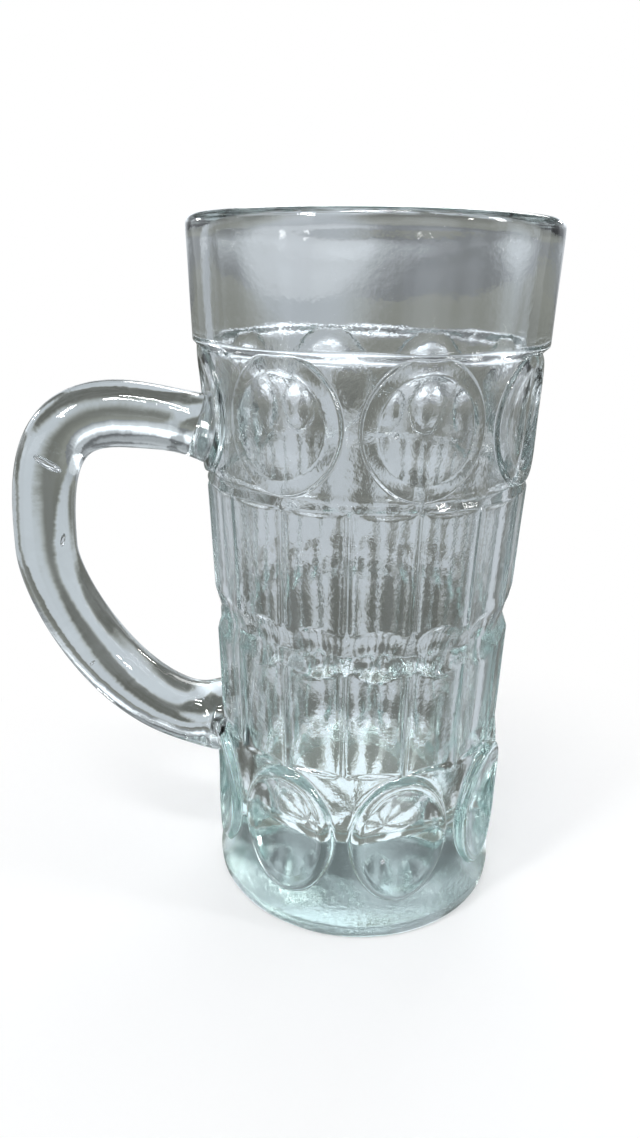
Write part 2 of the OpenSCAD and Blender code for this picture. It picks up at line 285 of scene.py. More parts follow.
def dish_radius(turn, z, o):
    """Radius of the dish of an oval. Its cutter is a ring that lies on edge: across, it has the round section
    that fits the oval's width less its rim, and along, the larger radius that fits the height less the rim.
    A ring's surface is (q - big)^2 + y^2 = small^2, where q is the distance from the ring's axis. The
    sideways distance y depends on the radius sought, so the radius is worked out three times over."""
    depth, mid_face = o["dish"], face_radius(o["mid_z"], o)
    half_w = o["w"] / 2 - o["rim_w"]
    side_depth = depth - mid_face + math.sqrt(mid_face ** 2 - half_w ** 2)
    across = (half_w ** 2 + side_depth ** 2) / (2 * side_depth)
    along = ((o["h"] / 2 - o["rim_w"]) ** 2 + depth ** 2) / (2 * depth)
    centre_r = mid_face - depth + along
    centre_z = o["mid_z"] - (along - depth) * line_slope
    r = np.full(np.broadcast(turn, z).shape, mid_face)
    for _ in range(3):
        y = r * np.sin(turn)
        q = along - across + np.sqrt(np.maximum(across ** 2 - y ** 2, 0))
        inside = q ** 2 - (z - centre_z) ** 2
        r = (centre_r - np.sqrt(np.maximum(inside, 0))) / np.cos(turn)
    return r


def add_oval(r, turn, z, o):
    """The radius r with the plate of an oval raised on it and its dish cut into the plate. The crown is
    crown (1 - d^2), where d is 0 in the middle of the rim and 1 at both of its edges."""
    face = face_radius(z, o)
    mid_face = face_radius(o["mid_z"], o)
    away = oval_distance(mid_face * np.sin(turn), z - o["mid_z"], o)
    from_rim = 2 * away / o["rim_w"] + 1
    face = face + o["crown"] * np.maximum(1 - from_rim ** 2, 0)
    share = smooth_min(smooth_max(0.5 - away / o["step"], 0, step_round), 1, step_round)
    raised = r + share * np.maximum(face - r, 0)
    dished = smooth_min(raised, dish_radius(turn, z, o), o["rim"])
    return np.where(away < 0, dished, raised)


for title, o in [("ovals", upper), ("lenses", lower)]:
    print(f"{title}: {o['w']} x {o['h']} mm, side arcs of radius {four_arcs(o)[1]:.1f} mm")

# %% [markdown]
# No pressed surface is perfect. A few long, shallow waves stand in for the way the glass flowed and cooled.
# Each wave runs a whole number of times around the body, so that the skin closes on itself. The skin is held
# a hair inside the lip's radius, so that no wave makes the mug wider than it is.

# %% The whole outer skin
wave_count, most_turns, steepest = 26, 14, 0.35
wave_size, wave_drop, lip_margin = 0.009, 0.04, 0.02
rng = np.random.default_rng(11)
wave_turns = rng.integers(-most_turns, most_turns + 1, wave_count)
wave_rates = rng.uniform(-steepest, steepest, wave_count)
wave_phases = rng.uniform(0, 2 * math.pi, wave_count)


def waves(angle, z, shift=0.0):
    """The sum of wave_size sin(turns angle + rate z + phase + shift) over all waves."""
    total = np.zeros(np.broadcast(angle, z).shape)
    for turns, rate, phase in zip(wave_turns, wave_rates, wave_phases):
        total += np.sin(turns * angle + rate * z + phase + shift)
    return wave_size * total


def skin_radius(angle, z):
    """Radius of the body's outer skin, in mm. The angle is measured from the first line between two ovals."""
    r = band_radius(z)
    turn = fold(angle, oval_count)
    r = add_oval(r, turn, z, upper)
    r = add_oval(r, turn, z, lower)
    r = cut_flutes(r, angle, z)
    return np.minimum(r + waves(angle, z) - wave_drop, lip_r - lip_margin)


print(f"radius of the skin in a hollow of the waist {skin_radius(math.pi / flute_count, waist_z):.2f} mm")

# %% [markdown]
# The mesh is a set of patches. Bands that go straight round are grids of rows and columns, with more columns
# at the ribs and more rows at the edges. Around an oval the grid turns into rings that follow its outline, so
# that no edge crosses the mesh at a slant. All patches use the same columns where they meet. The columns are
# counted from the line between two ovals that is nearest to the handle, and the handle points along -X.

# %% Rows, columns and patches
def crowded(start, end, count, marks, reach=1.6, crowd=5.0, samples=4000):
    """count + 1 places from start to end that crowd round the marks: a density of 1 plus a bell of height
    crowd at each mark is summed along the way, and equal shares of the sum give the places."""
    fine = np.linspace(start, end, samples)
    density = 1 + crowd * sum(np.exp(-((fine - m) / reach) ** 2) for m in marks)
    total = np.concatenate([[0], np.cumsum((density[1:] + density[:-1]) / 2)])
    return np.interp(np.linspace(0, total[-1], count + 1), total, fine)


columns_per_flute = 18
flute_pitch = 360 / flute_count
ridge_edge, ridge_reach, ridge_crowd = 0.6, 0.4, 9.0
flute_columns = np.radians(crowded(0, flute_pitch, columns_per_flute, [ridge_edge, flute_pitch - ridge_edge],
                                   ridge_reach, ridge_crowd))
columns = np.concatenate([flute_columns[:-1] + math.radians(k * flute_pitch) for k in range(flute_count)])
handle_offset = 11.25
first_rib = math.radians(180 - handle_offset)
weld_gap = 0.001
print(len(columns), "columns around the body")


class Patches:
    """Points and faces of one closed piece, gathered patch by patch."""

    def __init__(self):
        self.points, self.faces, self.size = [], [], 0

    def add_grid(self, grid):
        """A grid of points, rows by columns, that closes round. Columns run to the right as seen from
        outside, rows upwards."""
        rows, cols = grid.shape[:2]
        index = self.size + np.arange(rows * cols).reshape(rows, cols)
        right = np.roll(index, -1, axis=1)
        quads = np.stack([index[:-1], right[:-1], right[1:], index[1:]], -1)
        self.points.append(grid.reshape(-1, 3))
        self.faces += quads.reshape(-1, 4).tolist()
        self.size += rows * cols
        return index

    def add_fan(self, loop, point, flip=False):
        """Triangles from a loop of point numbers to one middle point."""
        self.points.append(np.asarray(point, float).reshape(1, 3))
        turned = np.roll(loop, -1)
        first, second = (turned, loop) if flip else (loop, turned)
        middle = np.full(len(loop), self.size)
        self.faces += np.stack([first, second, middle], -1).tolist()
        self.size += 1

    def piece(self, name):
        """A smooth Blender object of all patches, with the points that they share made one."""
        mesh = bpy.data.meshes.new(name)
        mesh.from_pydata((np.concatenate(self.points) * MM).tolist(), [], self.faces)
        shaped = bmesh.new()
        shaped.from_mesh(mesh)
        bmesh.ops.remove_doubles(shaped, verts=shaped.verts, dist=weld_gap * MM)
        shaped.to_mesh(mesh)
        open_edges = sum(1 for e in shaped.edges if len(e.link_faces) != 2)
        shaped.free()
        mesh.shade_smooth()
        made = bpy.data.objects.new(name, mesh)
        bpy.context.scene.collection.objects.link(made)
        triangles = sum(len(p.vertices) - 2 for p in mesh.polygons)
        print(f"{name}: {triangles} triangles, {open_edges} open edges")
        return made


def around(radius, angle, z):
    """Points at a radius, an angle from the first rib line and a height."""
    angle = angle + first_rib
    radius, angle, z = np.broadcast_arrays(radius, angle, z)
    return np.stack([radius * np.cos(angle), radius * np.sin(angle), z], -1)


# %% [markdown]
# A few air bubbles are caught in the glass. Each is a stretched ball with its faces turned inwards, so that
# the glass lies outside it, and it belongs to the mesh of the piece that holds it.

# %% Bubbles
bubble_rings, bubble_sides = 8, 16


def bubble(patches, middle, size, tilt):
    """A long air bubble inside a piece: a ball stretched to size (length, thickness) and tilted in the plane
    of the handle. The point at the angles down and turn lies half the length times cos(down) along it, and
    half the thickness times sin(down) to its side."""
    middle, half_length, half_thick = np.array(middle), size[0] / 2, size[1] / 2
    down = np.linspace(0, math.pi, bubble_rings + 2)[1:-1, None]
    turn = np.linspace(0, 2 * math.pi, bubble_sides, endpoint=False)
    along = half_length * np.cos(down) + 0 * turn
    across, off = half_thick * np.sin(down) * np.cos(turn), half_thick * np.sin(down) * np.sin(turn)
    shape = np.stack([along * math.cos(tilt) - across * math.sin(tilt), off,
                      along * math.sin(tilt) + across * math.cos(tilt)], -1) + middle
    rings = patches.add_grid(shape)
    tip = np.array([math.cos(tilt), 0, math.sin(tilt)]) * half_length
    patches.add_fan(rings[0], middle + tip, flip=True)
    patches.add_fan(rings[-1], middle - tip)


print("points in the mesh of a bubble:", bubble_rings * bubble_sides + 2)

# %% [markdown]
# The outer skin is a height field over angle and height, so each patch only chooses where to sample it. The
# ring patches blend from the oval's outline to the edges of their field. Their rings lie closest at the edge
# of the dish and at the outline, where the glass bends light most. Of the values below, shares divide a way
# and insets and gaps are distances from an edge.

# %% The rings of an oval
dish_shares = np.array([0.08, 0.25, 0.42, 0.58, 0.74, 0.88])
dish_edge_insets = np.array([0.7, 0.4, 0.2, 0.05, -0.1, -0.25, -0.45, -0.8])
rim_shares = np.array([0.55, 0.35])
step_insets = np.array([0.6, 0.4, 0.2, 0])
close_gaps, close_shares = np.array([0.2, 0.4, 0.6]), np.array([0.15, 0.3, 0.45])
outer_rings = 5


def skin_rows(z):
    """A grid of points on the skin at the heights z and all columns."""
    z = np.asarray(z, float)[:, None]
    return around(skin_radius(columns[None, :], z), columns[None, :], z)


def field_border(o, low_z, top_z, side_rows):
    """Angles and heights, both from the middle of an oval, of the points round the border of its field."""
    half = math.pi / oval_count
    across = np.append(columns[:2 * columns_per_flute], 2 * half) - half
    up = np.linspace(low_z, top_z, side_rows + 1)
    angle = np.concatenate([across[:-1], np.full(side_rows, half), across[:0:-1], np.full(side_rows, -half)])
    height = np.concatenate([np.full(len(across) - 1, low_z), up[:-1],
                             np.full(len(across) - 1, top_z), up[:0:-1]])
    return angle, height - o["mid_z"]


def oval_field(o, low_z, top_z, side_rows):
    """Rings from the middle of an oval to the border of its field, as angles and heights. Inside the outline
    a point is t times the outline point, and outside it moves on from there to the border point."""
    mid_face = face_radius(o["mid_z"], o)
    angle, height = field_border(o, low_z, top_z, side_rows)
    y = mid_face * np.sin(angle)
    direction = np.arctan2(height, y)
    reach = oval_reach(direction, o)
    oval_y, oval_z = reach * np.cos(direction), reach * np.sin(direction)
    insets = np.concatenate([o["rim_w"] + dish_edge_insets, o["rim_w"] * rim_shares, step_insets])
    rings_in = 1 - insets[:, None] / reach
    inner = np.concatenate([rings_in[0] * dish_shares[:, None], rings_in])
    gap = np.hypot(y - oval_y, height - oval_z)
    close = np.minimum(close_gaps[:, None] / gap, close_shares[:, None])
    even = np.linspace(0, 1, outer_rings + 1)[1:, None]
    outer = np.concatenate([close, close[-1] + (1 - close[-1]) * even])
    ring_y = np.concatenate([inner * oval_y, oval_y + outer * (y - oval_y)])
    ring_z = np.concatenate([inner * oval_z, oval_z + outer * (height - oval_z)])
    return np.arcsin(ring_y / mid_face) + math.pi / oval_count, ring_z + o["mid_z"]


print(f"an oval reaches {oval_reach(0.0, upper):.2f} mm sideways")

# %% [markdown]
# The patches are added from the table up: the flat underside, the round of the heel, the foot, the field of
# the lenses, the flutes and the waist, the field of the ovals and the plain band under the lip.

# %% The outside of the body
lens_low_z, lens_top_z = lens_mid_z - lens_h / 2 - 0.8, low_flute_z - 0.2
oval_low_z, oval_top_z = valley_z - 0.6, collar_z + 0.5
lip_z = mug_h - lip_wall / 2
heel_round, heel_round_in = 3.8, 1.8
round_rows, foot_rows, flute_rows, side_rows, plain_rows = 8, 10, 76, 24, 16
under_shares = np.array([0.12, 0.35, 0.6, 0.8, 0.93, 1.0])[:, None, None]
flute_marks = [low_flute_z + 0.9, waist_foot_z, waist_z, waist_head_z, shoulder_z - 1, valley_z - 1]

body = Patches()
heel_turn = np.linspace(math.pi / 2, 0, round_rows + 1)[:, None]
heel_skin = skin_radius(columns[None, :], np.array([[heel_round]]))
under = around(heel_skin - heel_round_in, columns[None, :], np.zeros((1, 1))) * np.array([1, 1, 0])
under_rings = body.add_grid(under_shares * under)
body.add_fan(under_rings[0], [0, 0, 0], flip=True)
body.add_grid(around(heel_skin - heel_round_in * (1 - np.cos(heel_turn)), columns[None, :],
                     heel_round * (1 - np.sin(heel_turn))))
body.add_grid(skin_rows(crowded(heel_round, lens_low_z, foot_rows, [heel_h])))
body.add_grid(skin_rows(crowded(lens_top_z, oval_low_z, flute_rows, flute_marks)))
for o, low_z, top_z in [(lower, lens_low_z, lens_top_z), (upper, oval_low_z, oval_top_z)]:
    ring_angle, ring_z = oval_field(o, low_z, top_z, side_rows)
    for k in range(oval_count):
        angle = ring_angle + k * 2 * math.pi / oval_count
        rings = body.add_grid(around(skin_radius(angle, ring_z), angle, ring_z)[::-1])
        middle = math.pi * (2 * k + 1) / oval_count
        body.add_fan(rings[-1], around(skin_radius(middle, o["mid_z"]), middle, o["mid_z"]))
body.add_grid(skin_rows(crowded(oval_top_z, lip_z, plain_rows, [oval_top_z])))
print(f"outside of the body: {body.size} points")

# %% [markdown]
# One path of rings goes on over the lip, down the bore and across its floor, and closes the body. Outside,
# the lip is a quarter of a circle, and inside it is a longer quarter of an ellipse, as the polishing flame
# leaves it. The bore's waves fade out on the round of its floor.

# %% The lip and the bore
bore_shift, lip_rows, bore_rows = 2.0, 16, 10
floor_shares = np.array([1.0, 0.8, 0.6, 0.35, 0.12])[:, None]
bore_foot_r = line_r(base_t) - foot_wall
bore_slope = (lip_r - lip_wall - bore_foot_r) / (mug_h - base_t)
side = math.atan(bore_slope)
round_z = base_t + bore_round_r
round_r = bore_foot_r - bore_round_r * (1 - math.sin(side)) / math.cos(side)
lip_in_z = mug_h - lip_in_h
outer_lip = skin_radius(columns, lip_z)
inner_lip = bore_foot_r + bore_slope * (lip_in_z - base_t) + waves(columns, lip_in_z, bore_shift)
over_lip = np.linspace(0, math.pi, lip_rows + 1)[:, None]
lip_mid, lip_half = (outer_lip + inner_lip) / 2, (outer_lip - inner_lip) / 2
lip_drop = np.where(np.cos(over_lip) > 0, lip_wall / 2, lip_in_h)
body.add_grid(around(lip_mid + lip_half * np.cos(over_lip), columns[None, :],
                     mug_h - lip_drop * (1 - np.sin(over_lip))))
bore_z = np.linspace(lip_in_z, round_z - bore_round_r * math.sin(side), bore_rows + 1)[:, None]
body.add_grid(around(bore_foot_r + bore_slope * (bore_z - base_t) + waves(columns, bore_z, bore_shift),
                     columns[None, :], bore_z))
floor_turn = np.linspace(-side, -math.pi / 2, round_rows + 1)[:, None]
floor_wave = waves(columns, bore_z[-1:], bore_shift) * (1 + floor_turn / (math.pi / 2))
body.add_grid(around(round_r + bore_round_r * np.cos(floor_turn) + floor_wave / (1 - side / (math.pi / 2)),
                     columns[None, :], round_z + bore_round_r * np.sin(floor_turn)))
floor_rings = body.add_grid(around(round_r * floor_shares, columns[None, :], np.full((1, 1), base_t)))
body.add_fan(floor_rings[-1], [0, 0, base_t])
for middle, size, tilt in [((1.5, -38, 127.8), (1.3, 1.1), 1.2),
                           ((3.1, -33.5, 20.8), (1.6, 1.0), 1.2)]:
    bubble(body, middle, size, tilt)
glass_body = body.piece("pressed_body")

# %% [markdown]
# The handle was drawn out of the furnace, bent to a D and stuck on. It is a thick rod along three cubic
# curves: arm, upper bend and grip. The pulls are shares of the way that say how long each curve holds its
# direction. The rod widens where it was pressed on the body, and it is never quite even.

# %% Sizes of the handle
handle_reach = -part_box("handle")[0].x / MM
arm_t, crook_t, grip_t, bend_t, handle_w = 14.4, 16.4, 15.2, 16.4, 17
root_spread, root_flare, root_len, root_sink = 1, 3, 11, 0.35
up_root_rise, low_root_drop, arm_rise, low_dip = 9.7, 28.4, 2.7, 1.8
root_depth_share, grip_height_share, arm_reach_share, full_bend_share = 0.67, 0.61, 0.55, 0.6
arm_pulls, bend_pulls, grip_pulls = (0.6, 0.4, 0.72), (0.92, 0.57), (0.29, 0.56)
rod_waves = [(0.008, 3.1, 2), (0.006, 7.3, -1)]

root_r = valley_r - lip_wall * root_depth_share
up_root_z = valley_z + up_root_rise
low_root_z = waist_foot_z - low_root_drop
grip_r = handle_reach - grip_t / 2
grip_z = low_root_z + (up_root_z - low_root_z) * grip_height_share
arm_r = root_r + (grip_r - root_r) * arm_reach_share
arm_z = up_root_z + arm_rise
arm_curve = np.array([[root_r, up_root_z - arm_rise * arm_pulls[0]],
                      [root_r + (arm_r - root_r) / 3, up_root_z + arm_rise * arm_pulls[1]],
                      [root_r + (arm_r - root_r) * arm_pulls[2], arm_z],
                      [arm_r, arm_z]])
bend_curve = np.array([[arm_r, arm_z],
                       [arm_r + (grip_r - arm_r) * bend_pulls[0], arm_z],
                       [grip_r, grip_z + (arm_z - grip_z) * bend_pulls[1]],
                       [grip_r, grip_z]])
grip_curve = np.array([[grip_r, grip_z],
                       [grip_r, grip_z - (grip_z - low_root_z) * grip_pulls[0]],
                       [root_r + (grip_r - root_r) * grip_pulls[1], low_root_z - low_dip],
                       [root_r, low_root_z]])
print(f"handle reaches {handle_reach:.1f} mm, roots at {low_root_z:.1f} and {up_root_z:.1f} mm")


# %% The rod
def on_curve(c, t):
    """Point of a cubic curve at t: the control points weighted with (1-t)^3, 3t(1-t)^2, 3t^2(1-t), t^3."""
    t = np.asarray(t)[..., None]
    return (1 - t) ** 3 * c[0] + 3 * t * (1 - t) ** 2 * c[1] + 3 * t * t * (1 - t) * c[2] + t ** 3 * c[3]


def rod_thickness(s):
    """Thickness in the handle's plane, over the three curves as s goes from 0 to 3."""
    t = arm_t + (crook_t - arm_t) * smooth_step(s)
    t = t + (grip_t - crook_t) * smooth_step(s - 1)
    return t + (bend_t - grip_t) * smooth_step((s - 2) / full_bend_share)


def rod_path(s):
    """Centre line of the rod as radius and height, for s from 0 to 3."""
    k = np.clip(np.floor(s), 0, 2)
    points = np.stack([on_curve(c, s - k) for c in (arm_curve, bend_curve, grip_curve)])
    return np.choose(k.astype(int)[..., None], points)


def rod_surface(s, around_rod):
    """Points of the rod: the centre plus a cos(u) along the normal in the plane plus b sin(u) sideways,
    where a and b grow towards the body as the square of how near it is. Each of the rod's waves takes
    size (1 - sin(rate s + turns u)) of a and b away."""
    centre = rod_path(s)
    step = 1e-4
    ahead = rod_path(np.clip(s + step, 0, 3)) - rod_path(np.clip(s - step, 0, 3))
    ahead = ahead / np.linalg.norm(ahead, axis=-1, keepdims=True)
    near = np.clip(1 - np.maximum(centre[..., 0] - up_rib_foot_r, 0) / root_len, 0, 1) ** 2
    wobble = 1 + sum(size * (np.sin(rate * s + turns * around_rod) - 1) for size, rate, turns in rod_waves)
    a = (rod_thickness(s) / 2 + root_spread * near) * wobble
    b = (handle_w / 2 + root_flare * near) * wobble
    out = centre[..., 0] - a * np.cos(around_rod) * ahead[..., 1]
    up = centre[..., 1] + a * np.cos(around_rod) * ahead[..., 0]
    return np.stack([-out, b * np.sin(around_rod), up], -1)


print(f"upper bend {rod_thickness(1.5):.1f} mm thick in its middle")

# %% [markdown]
# The rod's ends stop on a seat that lies a hair under the skin of the body and follows it, so that light
# passes from one piece into the other as in one piece of glass, and only the seam around the root shows.
# Each line along the rod is searched for the point where it crosses the seat.

# %% Cut the rod's ends to the body and close them
halvings, cap_rings = 40, 9
up_search, low_search = (0.0, 0.9), (3.0, 2.2)
rod_sides, rod_rings = 72, 260


def outside_seat(p):
    """How far a point lies outside the seat, which is root_sink under the body's skin; negative inside."""
    angle = np.arctan2(p[..., 1], p[..., 0]) - first_rib
    return np.hypot(p[..., 0], p[..., 1]) - (skin_radius(angle, p[..., 2]) - root_sink)


def first_crossing(search, around_rod):
    """The share s at which each line of the rod comes out of the seat, found by halving the step."""
    low, high = np.full(len(around_rod), search[0]), np.full(len(around_rod), search[1])
    for _ in range(halvings):
        mid = (low + high) / 2
        outside = outside_seat(rod_surface(mid, around_rod)) > 0
        low, high = np.where(outside, low, mid), np.where(outside, mid, high)
    return (low + high) / 2


def seat_cap(loop):
    """Rings from inside a loop on the seat to its middle, all on the seat: the angle and the height of each
    point go to their mean values in equal steps."""
    angle = np.arctan2(loop[:, 1], -loop[:, 0])
    share = np.linspace(1, 0, cap_rings + 1)[1:, None]
    angle = angle.mean() + (angle - angle.mean()) * share
    z = loop[:, 2].mean() + (loop[:, 2] - loop[:, 2].mean()) * share
    on_skin = math.pi - angle - first_rib
    return around(skin_radius(on_skin, z) - root_sink, on_skin, z)


u_rod = np.linspace(0, 2 * math.pi, rod_sides, endpoint=False)
starts, ends = first_crossing(up_search, u_rod), first_crossing(low_search, u_rod)
share = np.linspace(0, 1, rod_rings + 1)[:, None]
rod_grid = rod_surface(starts + (ends - starts) * share, np.broadcast_to(u_rod, (rod_rings + 1, rod_sides)))
start_cap, end_cap = seat_cap(rod_grid[0]), seat_cap(rod_grid[-1])
rod = Patches()
rod_rows = rod.add_grid(np.concatenate([start_cap[-2::-1], rod_grid, end_cap[:-1]]))
rod.add_fan(rod_rows[0], start_cap[-1, 0], flip=True)
rod.add_fan(rod_rows[-1], end_cap[-1, 0])
for middle, size, tilt in [((-77.4, -3.5, 114.8), (6.0, 2.2), -0.65),
                           ((-75.8, -4, 95.6), (3.6, 1.1), 1.3),
                           ((-69.9, -4, 62.8), (1.6, 0.8), 0.9),
                           ((-41.9, -4, 50.7), (1.1, 0.9), 0.2)]:
    bubble(rod, middle, size, tilt)
glass_handle = rod.piece("handle_rod")

# %% [markdown]
# Materials are trees of nodes. A small class keeps their code short: it adds a node, gives it its settings
# and feeds its inputs in one call.

# %% Helpers for node trees
class Tree:
    """Adds nodes to one node tree. What is fed to an input is an output, which is linked, or else a number,
    place or colour, which is set."""

    def __init__(self, tree):
        self.nodes, self.links = tree.nodes, tree.links

    def feed(self, node, inputs):
        """Link or set inputs of a node, given by name or number."""
        for name, value in inputs.items():
            if isinstance(value, bpy.types.NodeSocket):
                self.links.new(value, node.inputs[name])
            else:
                node.inputs[name].default_value = value

    def node(self, kind, inputs=None, **settings):
        """A new node of a kind, with its settings and inputs."""
        made = self.nodes.new("ShaderNode" + kind)
        for name, setting in settings.items():
            setattr(made, name, setting)
        self.feed(made, inputs or {})
        return made

    def math(self, operation, *values):
        """The result of a Math node."""
        return self.node("Math", dict(enumerate(values)), operation=operation).outputs[0]

    def carry(self, value, start, end, smooth=False):
        """A value carried from the range start to the range end and held to its limits."""
        limits = {"From Min": start[0], "From Max": start[1], "To Min": end[0], "To Max": end[1]}
        return self.node("MapRange", {"Value": value, **limits},
                         interpolation_type="SMOOTHSTEP" if smooth else "LINEAR").outputs["Result"]

    def mix(self, share, a, b, kind="RGBA"):
        """The blend (1 - share) a + share b of two colours or, with the kind FLOAT, of two numbers."""
        return self.node("Mix", {"Factor": share, "A": a, "B": b}, data_type=kind).outputs["Result"]

    def length(self, vector):
        """The length of a vector."""
        return self.node("VectorMath", {0: vector}, operation="LENGTH").outputs["Value"]


def new_group(name, inputs, outputs):
    """An empty node group, whose inputs and outputs are given as names with their kinds of socket."""
    group = bpy.data.node_groups.new(name, "ShaderNodeTree")
    for way, sockets in (("INPUT", inputs), ("OUTPUT", outputs)):
        for socket, kind in sockets.items():
            group.interface.new_socket(socket, in_out=way, socket_type="NodeSocket" + kind)
    return group


# %% [markdown]
# Glass that is clear still has a skin: a fine orange peel where it touched the mould, and faint haze where
# hands and shelves have rubbed it. One node group makes both from noise, and each glass sets its own amounts.
# Above the collar the flame has polished the peel almost away.

# %% The skin of pressed glass
calm_reach, calm_share = 0.002, 0.25
haze_scale, haze_start, haze_end, most_haze = 45, 0.55, 0.75, 0.05
tone_scale = 22
green_tone, violet_tone = (0.97, 0.985, 0.98, 1), (0.975, 0.97, 0.985, 1)


def pressed_skin_group():
    """A group that puts out the height of the orange peel, a haze mask and a slight shift of tone. Above the
    height Calm Above, the peel's height is multiplied by calm_share."""
    group = new_group("pressed_skin",
                      {"Vector": "Vector", "Peel Scale": "Float", "Wave Scale": "Float",
                       "Wave Share": "Float", "Calm Above": "Float"},
                      {"Height": "Float", "Haze": "Float", "Tone": "Color"})
    tree = Tree(group)
    entry, leave = tree.nodes.new("NodeGroupInput").outputs, tree.nodes.new("NodeGroupOutput")

    def noise(scale, detail):
        """Noise with scale features to the metre."""
        inputs = {"Vector": entry["Vector"], "Scale": scale, "Detail": detail}
        return tree.node("TexNoise", inputs).outputs["Fac"]

    fine, coarse = noise(entry["Peel Scale"], 3), noise(entry["Wave Scale"], 2)
    peel = tree.mix(entry["Wave Share"], fine, coarse, "FLOAT")
    height = tree.node("SeparateXYZ", {0: entry["Vector"]}).outputs["Z"]
    calm = tree.carry(tree.math("SUBTRACT", height, entry["Calm Above"]),
                      (-calm_reach, calm_reach), (1.0, calm_share))
    haze = tree.carry(noise(haze_scale, 8), (haze_start, haze_end), (0.0, most_haze))
    tone = tree.mix(noise(tone_scale, 2), green_tone, violet_tone)
    tree.feed(leave, {"Height": tree.math("MULTIPLY", peel, calm), "Haze": haze, "Tone": tone})
    return group


pressed_skin = pressed_skin_group()
print("node group:", pressed_skin.name)

# %% [markdown]
# The tint isn't painted on: glass holds a little iron, so light turns green-grey only where its way through
# the glass is long. Absorption in the volume does just that, and the thick foot comes out greener than the
# thin wall without any other setting.

# %% The glass
glass_ior = 1.5
iron_tint, iron_density = (0.55, 0.80, 0.77, 1), 8.5


def clear_glass(name, peel_scale, wave_scale, wave_share, bump, calm_above=1.0):
    """Clear glass with an orange peel of its own, which is bump mm high, a trace of haze and a green-grey
    body colour."""
    made = bpy.data.materials.new(name)
    made.use_nodes = True
    tree = Tree(made.node_tree)
    place = tree.node("TexCoord").outputs["Object"]
    skin = tree.node("Group", {"Vector": place, "Peel Scale": peel_scale, "Wave Scale": wave_scale,
                               "Wave Share": wave_share, "Calm Above": calm_above},
                     node_tree=pressed_skin).outputs
    relief = tree.node("Bump", {"Strength": 1.0, "Distance": bump * MM, "Height": skin["Height"]})
    tree.feed(tree.nodes["Principled BSDF"],
              {"Transmission Weight": 1.0, "IOR": glass_ior, "Base Color": skin["Tone"],
               "Roughness": skin["Haze"], "Normal": relief.outputs["Normal"]})
    tint = tree.node("VolumeAbsorption", {"Color": iron_tint, "Density": iron_density})
    tree.feed(tree.nodes["Material Output"], {"Volume": tint.outputs["Volume"]})
    return made


glass_body.data.materials.append(clear_glass("pressed_glass", 800, 150, 0.35, 0.075, collar_z * MM))
glass_handle.data.materials.append(clear_glass("handle_glass", 220, 60, 0.6, 0.3))
print("clear glass, refractive index", glass_ior)

# %% [markdown]
# The mug stands on a pale floor. Glass shows its surroundings, so the plain studio around it matters: soft
# pale cards with grey gaps between them, of uneven width. One node group turns a direction into how pale the
# studio is there, and the walls and the floor both use it. The camera itself sees plain white. The studio's
# sizes are in metres.

# %% Floor and cards
floor_half, floor_drop = 3.0, -0.0002
floor_mesh = bpy.data.meshes.new("floor")
floor_mesh.from_pydata([(-floor_half, -floor_half, floor_drop), (floor_half, -floor_half, floor_drop),
                        (floor_half, floor_half, floor_drop), (-floor_half, floor_half, floor_drop)],
                       [], [(0, 1, 2, 3)])
floor = bpy.data.objects.new("floor", floor_mesh)
bpy.context.scene.collection.objects.link(floor)

card_waves = [(4, 0.2, 0.8), (5, 1.46, 1.0), (9, 5.38, 0.8), (16, 2.19, 0.5)]
rise_rate, rise_start, rise_height = 17.0, 0.166, 0.71
card_edge = (-0.6, 0.7)


def cards_group():
    """A group that puts out how pale the studio is towards a direction. Four sine waves over the heading,
    height sin(turns heading + start), and one over the height angle are added, and the sum is carried from
    the range card_edge to 0 to 1 with soft ends."""
    group = new_group("studio_cards", {"Vector": "Vector"}, {"Pale": "Float"})
    tree = Tree(group)
    entry, leave = tree.nodes.new("NodeGroupInput").outputs, tree.nodes.new("NodeGroupOutput")
    apart = tree.node("SeparateXYZ", {0: entry["Vector"]}).outputs
    heading = tree.math("ARCTAN2", apart["Y"], apart["X"])
    total = 0.0
    for turns, start, height in card_waves:
        wave = tree.math("SINE", tree.math("ADD", tree.math("MULTIPLY", heading, turns), start))
        total = tree.math("ADD", tree.math("MULTIPLY", wave, height), total)
    flat = tree.node("CombineXYZ", {"X": apart["X"], "Y": apart["Y"]}).outputs["Vector"]
    rise = tree.math("ARCTAN2", apart["Z"], tree.length(flat))
    wave = tree.math("SINE", tree.math("ADD", tree.math("MULTIPLY", rise, rise_rate), rise_start))
    total = tree.math("ADD", tree.math("MULTIPLY", wave, rise_height), total)
    tree.feed(leave, {"Pale": tree.carry(total, card_edge, (0.0, 1.0), smooth=True)})
    return group


studio_cards = cards_group()
print("floor of", 2 * floor_half, "m, node group:", studio_cards.name)

# %% [markdown]
# A floor under a glass is seen twice: straight by the camera, and again through the glass. The first should
# be pale and keep the mug's shadow, and the second should show the cards, or the glass has nothing to bend.
# Light Path tells the two apart.

# %% The floor's material
floor_level, near_level = 0.375, 2.0
dark_tone, pale_tone = (0.99, 1.02, 0.93, 1), (0.93, 1.0, 1.07, 1)
eye_h = 0.09
near_ring, contrast_ring, fade_ring = (0.044, 0.066), (0.15, 1.5), (0.03, 0.16)
contrast_range, least_white = (0.65, 0.3), 0.35


def seen_in_glass(tree):
    """1 for what is seen in or through the glass: for reflected and transmitted light."""
    path = tree.node("LightPath").outputs
    return tree.math("MAXIMUM", path["Is Glossy Ray"], path["Is Transmission Ray"])


